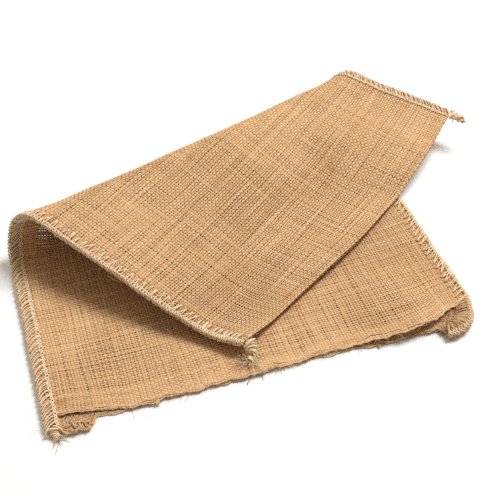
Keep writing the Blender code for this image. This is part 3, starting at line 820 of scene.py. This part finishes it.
def cloth_fuzz(panel, rng):
    """Fibres that stand off a panel's outer face, more of them along its mouth."""
    count = CLOTH_FUZZ[panel]
    low = 0.0 if panel == "front" else FOLD_START - 20 * MM    # the back panel shows from the fold on
    u = WIDTH * rng.random(count)
    s = low + (PANEL_END - low) * rng.random(count)
    at_mouth = rng.random(count) < FUZZ_AT_MOUTH
    s = np.where(at_mouth, 1.5 * MM * rng.random(count), s)
    base, across, onward, out = cloth_frame(panel, u, s)
    angle = rng.uniform(0, 2 * math.pi, count)
    angle = np.where(at_mouth, -math.pi / 2 + 0.9 * rng.standard_normal(count), angle)
    tangents = np.cos(angle)[:, None] * across + np.sin(angle)[:, None] * onward
    lengths = MM * np.clip(rng.gamma(3.0, 1.1, count), 1.2, 9.0)
    return hair_tubes(base + 0.4 * MM * out, tangents, out, lengths, rng)


def seam_fuzz(side, rng):
    """Fibres that stand off a seam's yarn."""
    count, start = SEAM_FUZZ[side], seam_end(side, "mouth")
    along = start + (LENGTH - start) * rng.random(count)
    if side == "right":
        along = np.where(rng.random(count) < 0.3, start - CURL[-1].run * rng.random(count), along)
    inset = MM * rng.uniform(-1.0, 9.5, count)
    height = rng.choice([-1.0, 1.0], count) * 2.2 * MM
    root = seam_place(side, along, inset, height)
    out = unit(root - seam_place(side, along, inset, 0 * inset))
    ahead = unit(seam_place(side, along + 0.5 * MM, inset, height) - root)
    beside = np.cross(ahead, out)
    angle = rng.uniform(0, 2 * math.pi, count)
    tangents = np.cos(angle)[:, None] * ahead + np.sin(angle)[:, None] * beside
    lengths = MM * np.clip(rng.gamma(3.0, 1.0, count), 1.2, 8.0)
    return hair_tubes(root, tangents, out, lengths, rng)


def make_fuzz(material):
    rng = np.random.default_rng(21)
    for panel in CLOTH_FUZZ:
        tube_piece(f"fibres_{panel}", [cloth_fuzz(panel, rng)], material, "sack_cloth")
    for side in SEAM_FUZZ:
        tube_piece(f"fibres_{side}", [seam_fuzz(side, rng)], material, f"seam_{side}")


# ==== Loose yarns at the mouth ====
EDGE_YARN = 0.50 * MM             # radius
EDGE_YARNS = {"front": 4, "back": 3}
EDGE_STEP = 2.5 * MM              # between a loose yarn's knots
EDGE_PIECE = 12                   # knots to a length of it
EDGE_MARGIN = 9 * MM              # clear of the sack's sides
# The back panel's corner that shows at the mouth's left end is crumpled: its strands' places.
CORNER_STRANDS = 34
CORNER_FROM, CORNER_TO = 7 * MM, 33 * MM
CORNER_DEPTH = 8 * MM
# Small bits of yarn that hang from the mouth: panel, place across, and reach.
BITS = (("front", 83 * MM, 4.0 * MM), ("back", 262 * MM, 4.0 * MM))
BIT_YARNS = 9


def corner_strands(rng):
    """Loose yarns that lie in loops on the crumpled corner at the mouth's left end."""
    count, knots = CORNER_STRANDS, 6
    share = np.linspace(-0.5, 0.5, knots)
    angle = rng.uniform(0, math.pi, (count, 1)) + 1.6 * rng.standard_normal((count, 1)) * share
    length = rng.uniform(4, 9, (count, 1)) * MM
    u = rng.uniform(CORNER_FROM, CORNER_TO, (count, 1)) + length * share * np.cos(angle)
    s = rng.uniform(0, CORNER_DEPTH, (count, 1)) + length * share * np.sin(angle)
    base, _, _, out = cloth_frame("back", np.clip(u, 2 * MM, CORNER_TO + 2 * MM), np.maximum(s, -0.6 * MM))
    lift = 0.7 * MM + 0.9 * MM * rng.random((count, knots)) + 0.8 * MM * np.sin(math.pi * (share + 0.5))
    path = base - lift[..., None] * out
    return [tubes(smooth_path(path), EDGE_YARN * rng.uniform(0.5, 1.0, (count, 1)))]


def hanging_bits(rng):
    """Short bundles of yarn that hang from the mouth."""
    parts, one = [], (BIT_YARNS, 1, 1)
    for panel, place, reach in BITS:
        base, across, onward, out = cloth_frame(panel, np.array([place]), np.array([0.5 * MM]))
        root = base + rng.normal(0, 0.7 * MM, one) * across
        lean = rng.normal(0, 0.35, one) * across + rng.normal(0, 0.15, one) * out
        strands = root + reach * rng.uniform(0.5, 1.0, one) * HAIR_SHARES * (lean - onward)
        parts.append(tubes(smooth_path(strands), EDGE_YARN * rng.uniform(0.4, 0.9, (BIT_YARNS, 1))))
    return parts


def edge_strands(panel, rng):
    """Wefts that have come loose along a panel's mouth edge and wander over it."""
    parts, length = [], 2 * EDGE_PIECE
    first, last = EDGE_MARGIN, WIDTH - EDGE_MARGIN
    count = math.ceil((last - first) / EDGE_STEP / EDGE_PIECE) * EDGE_PIECE + 1
    u = np.linspace(first, last, count)
    for i in range(EDGE_YARNS[panel]):
        wander = noise_line(count, 3.0, 70 + i + 10 * (panel == "back"))
        s = 0.1 * MM + 0.9 * MM * i + 0.8 * MM * wander
        lift = 0.20 * MM + 0.30 * MM * noise_line(count, 2.5, 90 + i)
        base, _, _, out = cloth_frame(panel, u, np.maximum(s, -0.8 * MM))
        path = smooth_path((base + lift[:, None] * out)[None])[0]
        for start in range(0, len(path) - 1, length):
            parts.append(tubes(path[None, start:start + length + 1], EDGE_YARN * rng.uniform(0.75, 1.1)))
    return parts


# ==== Materials ====
def arithmetic(operation):
    """A method that adds a math node to a value."""
    return lambda value, *others: value.nodes.math(operation, value, *others)


class Value:
    """An output of a material's node, with plain arithmetic that adds more nodes."""

    def __init__(self, nodes, socket):
        self.nodes = nodes
        self.socket = socket

    __add__, __sub__, __mul__, __truediv__, __abs__, fraction = map(
        arithmetic, ("ADD", "SUBTRACT", "MULTIPLY", "DIVIDE", "ABSOLUTE", "FRACT")
    )

    def __rsub__(self, other):
        return self.nodes.math("SUBTRACT", other, self)

    def stretch(self, low, high, to_low, to_high):
        """From one range to another, and no further."""
        return self.nodes.add("MapRange", dict(enumerate((self, low, high, to_low, to_high))))[0]


class Nodes:
    """Short calls for a material's nodes. A tuple is a colour."""

    def __init__(self, name):
        self.material = bpy.data.materials.new(name)
        self.material.use_nodes = True
        self.tree = self.material.node_tree
        self.shader = self.tree.nodes["Principled BSDF"].inputs

    def link(self, value, socket):
        if isinstance(value, Value):
            self.tree.links.new(value.socket, socket)
        else:
            socket.default_value = (*value, 1) if isinstance(value, tuple) else value

    def add(self, kind, values, **settings):
        """A new node's outputs, with its inputs' values by name or number."""
        node = self.tree.nodes.new("ShaderNode" + kind)
        for name, setting in settings.items():
            setattr(node, name, setting)
        for name, value in values.items():
            self.link(value, node.inputs[name])
        return [Value(self, output) for output in node.outputs]

    def math(self, operation, *values):
        return self.add("Math", dict(enumerate(values)), operation=operation)[0]

    def map(self, name):
        return self.add("SeparateXYZ", {0: self.add("UVMap", {}, uv_map=name)[0]})[:2]

    def noise(self, place, scale, detail=3.0, roughness=0.5):
        vector = self.add("CombineXYZ", dict(enumerate(place)))[0]
        values = {"Vector": vector, "Scale": scale, "Detail": detail, "Roughness": roughness}
        return self.add("TexNoise", values)[0]

    def random(self, value):
        return self.add("TexWhiteNoise", {"W": value}, noise_dimensions="1D")[0]

    def mix(self, share, first, second):
        return self.add("Mix", {"Factor": share, 6: first, 7: second}, data_type="RGBA")[2]

    def ramp(self, tone, stops):
        """A colour for each tone, by stops of place and colour."""
        node = self.tree.nodes.new("ShaderNodeValToRGB")
        self.link(tone, node.inputs[0])
        while len(node.color_ramp.elements) < len(stops):
            node.color_ramp.elements.new(0.5)
        for element, (place, colour) in zip(node.color_ramp.elements, stops):
            element.position = place
            element.color = (*colour, 1)
        return Value(self, node.outputs[0])

    def bump(self, height, strength, distance):
        values = {"Height": height, "Strength": strength, "Distance": distance}
        self.link(self.add("Bump", values)[0], self.shader["Normal"])


JUTE = (
    (0.0, (0.42, 0.220, 0.092)), (0.35, (0.65, 0.390, 0.190)),
    (0.65, (0.81, 0.525, 0.290)), (1.0, (0.88, 0.645, 0.41)),
)
JUTE_SHEEN_TONES = {"warp": 0.40, "weft": 0.64}     # painted sheen: the wefts are painted paler than the warps, as if catching the light across their fibres
CREVICE_SHADE = (0.30, 0.138, 0.050)                # painted shade between the yarns
CREVICE_SHADE_SHARE = 0.55
INSIDE_SHADE = (0.20, 0.082, 0.026)                 # painted shade on the dips, which face the inside of the sack
INSIDE_SHADE_SHARE = 0.85
STAIN = (0.50, 0.19, 0.05)
# Darker slubs and stains: panel, place across and along the sack, its reach, its strength.
Mark = namedtuple("Mark", "panel u v wide long strength")
MARKS = (
    Mark("back", 226 * MM, 394 * MM, 3.5 * MM, 4.0 * MM, 0.55),
    Mark("back", 144 * MM, 290 * MM, 4.5 * MM, 2.5 * MM, 0.45),
    Mark("back", 70 * MM, 450 * MM, 6.0 * MM, 4.0 * MM, 0.40),
    Mark("front", 14 * MM, 12 * MM, 6.0 * MM, 4.0 * MM, 0.55),
    Mark("back", 33 * MM, 4 * MM, 6.0 * MM, 4.0 * MM, 0.55),
)


def make_hessian(kind):
    """Jute yarn of the weave: each yarn with its own tint, streaked by its fibres, with painted shade in its
    crevices and dips and painted sheen on the wefts.
    """
    nodes = Nodes(f"jute_{kind}")
    lane, place = nodes.map("yarn")
    u, s = nodes.map("sack")       # on the back panel s has 1 added
    number, across = nodes.math("FLOOR", lane), lane.fraction()
    slow = nodes.noise((number * 3.7, place * 0.09), 1.0)
    fibres = nodes.noise((across * 2.2 + place * 0.9, place * 0.5, number), 3.0, roughness=0.65)
    cloud = nodes.noise((u, s), 22.0)
    tone = nodes.random(number).stretch(0, 1, -0.07, 0.07) + slow.stretch(0.3, 0.7, -0.12, 0.12)
    tone = tone + fibres.stretch(0.3, 0.7, -0.25, 0.25) + cloud.stretch(0.35, 0.65, -0.05, 0.05)
    colour = nodes.ramp(tone + JUTE_SHEEN_TONES[kind], JUTE)

    for mark in MARKS:
        far_u = (u - mark.u) / mark.wide
        far_s = (s - (mark.v + (mark.panel == "back"))) / mark.long
        share = nodes.math("EXPONENT", (far_u * far_u + far_s * far_s) * -1.0)
        colour = nodes.mix(share * mark.strength, colour, STAIN)

    # Painted shade in the crevices at the yarns' edges and where they dive under, deeper where the weave is
    # closer.
    middle_share = 1.0 - abs(across - 0.5) * 2.2
    crest_share = (nodes.math("COSINE", place * math.pi) + 1.0) * 0.5
    depth = middle_share.stretch(0, 0.6, 0.35, 1.0) * crest_share.stretch(0.05, 0.6, 0.45, 1.0)
    closer = nodes.math("LESS_THAN", s, 0.9) * u.stretch(DENSE.start, DENSE.end, 0.5, 0.0)
    colour = nodes.mix(depth.stretch(0, 1, CREVICE_SHADE_SHARE, 0.0) * (closer + 1.0), colour, CREVICE_SHADE)

    # Painted shade on the dips: no light comes to the inside of the sack, except near the mouth.
    from_mouth = (s + 1.0).fraction().stretch(8 * MM, 18 * MM, 0.0, INSIDE_SHADE_SHARE)
    colour = nodes.mix(crest_share.stretch(0.10, 0.45, 1.0, 0.0) * from_mouth, colour, INSIDE_SHADE)
    nodes.link(colour, nodes.shader["Base Color"])
    nodes.link(fibres.stretch(0.3, 0.7, 0.80, 0.98), nodes.shader["Roughness"])
    nodes.link(0.03, nodes.shader["Specular IOR Level"])
    nodes.bump(fibres, 0.45, 0.25 * MM)
    return nodes.material


def make_yarn(name, dark, pale):
    """Yarn twisted from a few strands, between two colours."""
    nodes = Nodes(name)
    around, place = nodes.map("strand")
    twist = nodes.math("SINE", around * (2 * math.pi) + place * 2.6)
    slow = nodes.noise((place * 0.12, around), 1.0)
    fibres = nodes.noise((around * 3.0, place * 0.6), 2.5, roughness=0.65)
    tone = slow.stretch(0.3, 0.7, -0.2, 0.2) + fibres.stretch(0.3, 0.7, -0.25, 0.25)
    tone = tone + twist.stretch(-1, 1, 0.35, 0.65)
    nodes.link(nodes.mix(tone, dark, pale), nodes.shader["Base Color"])
    nodes.link(fibres.stretch(0.3, 0.7, 0.75, 0.95), nodes.shader["Roughness"])
    nodes.link(0.05, nodes.shader["Specular IOR Level"])
    nodes.bump(twist + fibres * 0.8, 0.6, 0.15 * MM)
    return nodes.material


def make_fibre():
    """Single jute fibres, pale and a little glossy."""
    nodes = Nodes("jute_fibre")
    around, place = nodes.map("strand")
    tint = nodes.noise((place * 0.15, around), 1.0, detail=2.0)
    colour = nodes.mix(tint.stretch(0.3, 0.7, 0, 1), (0.60, 0.36, 0.16), (0.95, 0.74, 0.48))
    nodes.link(colour, nodes.shader["Base Color"])
    nodes.link(tint.stretch(0.3, 0.7, 0.55, 0.75), nodes.shader["Roughness"])
    return nodes.material


# ==== Floor, light and camera ====
CAMERA_AZIMUTH = math.radians(39.47)
CAMERA_ELEVATION = math.radians(44.64)
CAMERA_DISTANCE = 0.798
CAMERA_TARGET = (-0.0101, 0.0295, 0.0)
CAMERA_LENS = 65.8
CAMERA_SENSOR = 36
FLOOR_REACH = 6.0
FLOOR_DROP = 0.2 * MM
FLOOR_COLOUR = (0.92, 0.92, 0.92, 1)
WORLD_COLOUR = (1.0, 0.885, 0.755, 1)
WORLD_STRENGTH = 0.31
# Soft lamps, placed from the camera's side: to its right, away from it, and up.
Lamp = namedtuple("Lamp", "name right away up size power")
LAMPS = (Lamp("key", 1.0, 0.75, 2.3, 1.1, 68), Lamp("back_light", -1.0, 1.3, 2.2, 1.2, 13))
LAMP_COLOUR = (0.97, 0.99, 1.0)


def from_camera_side(right, away):
    """A level direction given from the camera's side, in the part's axes."""
    cosine, sine = math.cos(CAMERA_AZIMUTH), math.sin(CAMERA_AZIMUTH)
    return np.array([right * cosine + away * sine, -right * sine + away * cosine])


def aim(item, target):
    """Points an object's -Z at the target, with its X level."""
    away = np.array(item.location) - np.array(target)
    tilt = math.atan2(math.hypot(away[0], away[1]), away[2])
    item.rotation_euler = (tilt, 0, math.atan2(away[0], -away[1]))


def make_stage():
    mesh = bpy.data.meshes.new("floor")
    corners = [(x * FLOOR_REACH, y * FLOOR_REACH, 0) for x, y in ((-1, -1), (1, -1), (1, 1), (-1, 1))]
    mesh.from_pydata(corners, [], [(0, 1, 2, 3)])
    material = bpy.data.materials.new("floor")
    material.use_nodes = True
    shader = material.node_tree.nodes["Principled BSDF"]
    shader.inputs["Base Color"].default_value = FLOOR_COLOUR
    shader.inputs["Roughness"].default_value = 0.9
    mesh.materials.append(material)
    floor = bpy.data.objects.new("floor", mesh)
    floor.location.z = -FLOOR_DROP
    bpy.context.scene.collection.objects.link(floor)

    world = bpy.data.worlds.new("studio")
    world.use_nodes = True
    world.node_tree.nodes["Background"].inputs["Color"].default_value = WORLD_COLOUR
    world.node_tree.nodes["Background"].inputs["Strength"].default_value = WORLD_STRENGTH
    bpy.context.scene.world = world

    for lamp in LAMPS:
        light = bpy.data.lights.new(lamp.name, "AREA")
        light.shape = "DISK"
        light.size = lamp.size
        light.energy = lamp.power
        light.color = LAMP_COLOUR
        item = bpy.data.objects.new(lamp.name, light)
        item.location = (*from_camera_side(lamp.right, lamp.away), lamp.up)
        aim(item, (0, 0, 0))
        bpy.context.scene.collection.objects.link(item)


def make_camera():
    data = bpy.data.cameras.new("camera")
    data.lens = CAMERA_LENS
    data.sensor_width = CAMERA_SENSOR
    data.clip_start = 0.01
    camera = bpy.data.objects.new("camera", data)
    level = CAMERA_DISTANCE * math.cos(CAMERA_ELEVATION)
    height = CAMERA_DISTANCE * math.sin(CAMERA_ELEVATION)
    camera.location = np.array(CAMERA_TARGET) + (*(-level * from_camera_side(0, 1)), height)
    aim(camera, CAMERA_TARGET)
    bpy.context.scene.collection.objects.link(camera)
    bpy.context.scene.camera = camera
    bpy.context.scene.view_settings.view_transform = "Standard"
    # The denoiser would smear the weave, whose yarns are near a pixel wide.
    bpy.context.scene.cycles.use_denoising = False


# ==== The scene ====
make_camera()
warp_yarn = make_hessian("warp")
weft_yarn = make_hessian("weft")
for panel in ("front", "back"):
    warp = weave_yarns(panel, "warp", warp_yarn)
    weft = weave_yarns(panel, "weft", weft_yarn)
sewing = make_yarn("jute_sewing", (0.76, 0.535, 0.305), (0.99, 0.82, 0.60))
for side in ("left", "right"):
    make_seam(side, sewing)
edge_yarn = make_yarn("jute_edge", (0.54, 0.325, 0.150), (0.90, 0.655, 0.405))
rough = make_yarn("jute_rough", (0.38, 0.20, 0.085), (0.84, 0.58, 0.33))
rng = np.random.default_rng(31)
tube_piece("yarn_curl", fan_strands(rng) + tip_fibres(rng), rough, "seam_right")
for panel in ("front", "back"):
    loose = hanging_bits(rng) if panel == "front" else corner_strands(rng)
    tube_piece(f"edge_{panel}", edge_strands(panel, rng) + loose, edge_yarn, "sack_cloth")
make_fuzz(make_fibre())
make_stage()
